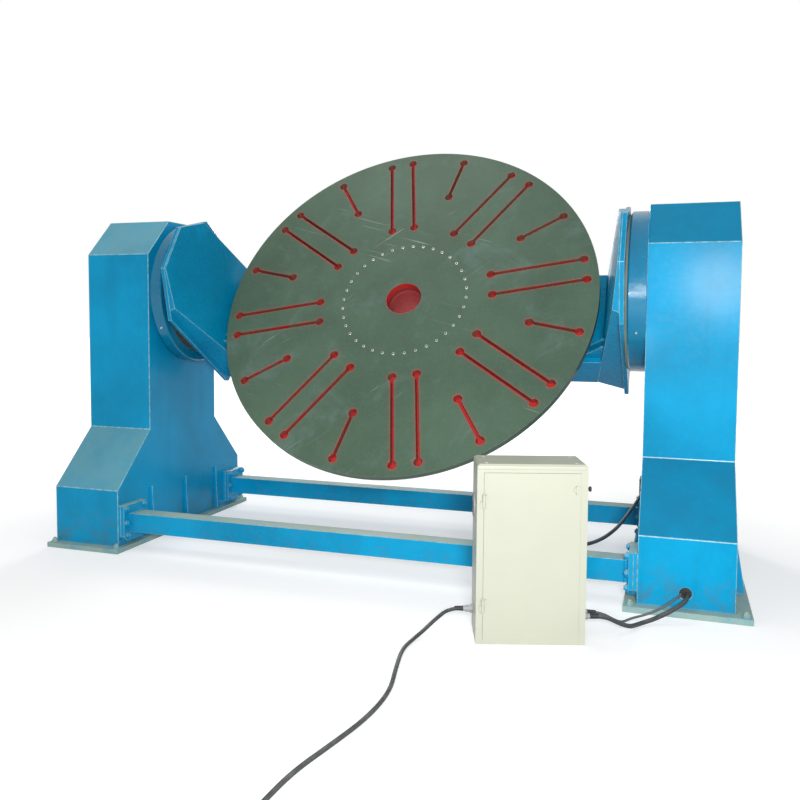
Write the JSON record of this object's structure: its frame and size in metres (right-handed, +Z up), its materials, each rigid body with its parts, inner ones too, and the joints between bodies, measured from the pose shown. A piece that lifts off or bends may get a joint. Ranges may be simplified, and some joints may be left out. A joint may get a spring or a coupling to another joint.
{
  "type": "welding positioner",
  "caption": "Head-and-tail tilt-turn welding positioner: two columns carry a tilting cradle with a large slotted turntable and a free-standing control cabinet.",
  "frame": {"origin": "on the floor, at the middle of the machine's footprint", "axes": "+X along the tilt axis towards the drive column, +Y away from the side where the operator and the cabinet stand, +Z up"},
  "size_m": [4.214, 4.205, 2.6741],
  "materials": {
    "column_blue": "semi-gloss paint",
    "deck_green": "weathered paint",
    "table_green": "satin paint",
    "machined_steel": "ground",
    "dark_steel": "oiled",
    "seal_cream": "satin",
    "cabinet_cream": "textured powder coat",
    "cap_grey": "powder coat",
    "zinc": "zinc plated",
    "black_plastic": "matte",
    "grey_plastic": "matte",
    "cable_black": "matte",
    "cable_grey": "matte",
    "plug_red": "gloss",
    "motor_blue": "satin paint"
  },
  "bodies": {
    "stand": {"cabinet_cable_glands": "grey_plastic", "cabinet_cap": "cap_grey", "cabinet_carcass": "cabinet_cream", "cabinet_contactors": "grey_plastic", "cabinet_inverters": "grey_plastic", "cabinet_mounting_plate": "zinc", "cabinet_side_louvre": "black_plastic", "cable_grommet": "black_plastic", "column_junction_box": "grey_plastic", "cradle_cable": "cable_black", "drive_base_plate": "deck_green", "drive_beam_bolts": "zinc", "drive_beam_pads": "column_blue", "drive_cable": "cable_black", "drive_column": "column_blue", "drive_drum": "column_blue", "drive_inner_ribs": "column_blue", "drive_outer_ribs": "column_blue", "drive_service_cover": "column_blue", "front_tie_beam": "column_blue", "idler_base_plate": "deck_green", "idler_beam_bolts": "zinc", "idler_beam_pads": "column_blue", "idler_column": "column_blue", "idler_drum": "column_blue", "idler_inner_ribs": "column_blue", "mains_cable": "cable_black", "mains_coil": "cable_black", "mains_plug": "plug_red", "rear_tie_beam": "column_blue", "sensor_cable": "cable_grey", "tie_beam_flanges": "column_blue"},
    "cradle": {"drive_end_plate": "column_blue", "idler_end_plate": "column_blue", "drive_trunnion": "machined_steel", "idler_trunnion": "dark_steel", "drive_seal_ring": "seal_cream", "drive_arm": "column_blue", "idler_arm": "column_blue", "cross_box": "column_blue", "drive_knee_gussets": "column_blue", "idler_knee_gussets": "column_blue", "slewing_seat": "column_blue", "slewing_fixed_ring": "machined_steel", "turn_reducer": "motor_blue", "turn_motor": "motor_blue", "turn_motor_cowl": "motor_blue"},
    "turntable": {"slotted_faceplate": "table_green", "slewing_gear_ring": "machined_steel"},
    "pinion": {"turn_pinion": "machined_steel"},
    "cabinet_door": {"cabinet_door": "cabinet_cream"},
    "latch": {"door_latch": "black_plastic"}
  },
  "joints": [
    {"name": "tilt", "type": "hinge", "parent": "stand", "child": "cradle", "pos_m": [0.014, 0.33164, 1.65], "axis": [1, 0, 0], "range_deg": [-57.73, 77.27]},
    {"name": "turn", "type": "hinge", "parent": "cradle", "child": "turntable", "pos_m": [0.014, 0.38322, 1.61743], "axis": [0, -0.8455, 0.5339], "continuous": true},
    {"name": "pinion_spin", "type": "hinge", "parent": "cradle", "child": "pinion", "pos_m": [0.566, 0.38322, 1.61743], "axis": [0, -0.8455, 0.5339], "continuous": true},
    {"name": "door_swing", "type": "hinge", "parent": "stand", "child": "cabinet_door", "pos_m": [0.90587, -1.13864, 0.4], "axis": [0, 0, -1], "range_deg": [0, 110]},
    {"name": "latch_turn", "type": "hinge", "parent": "cabinet_door", "child": "latch", "pos_m": [1.30264, -1.00354, 0.717], "axis": [0.2974, -0.9548, 0], "range_deg": [0, 90]}
  ],
  "couplings": [
    {"joint": "pinion_spin", "follows": "turn", "ratio": -5.5714}
  ]
}
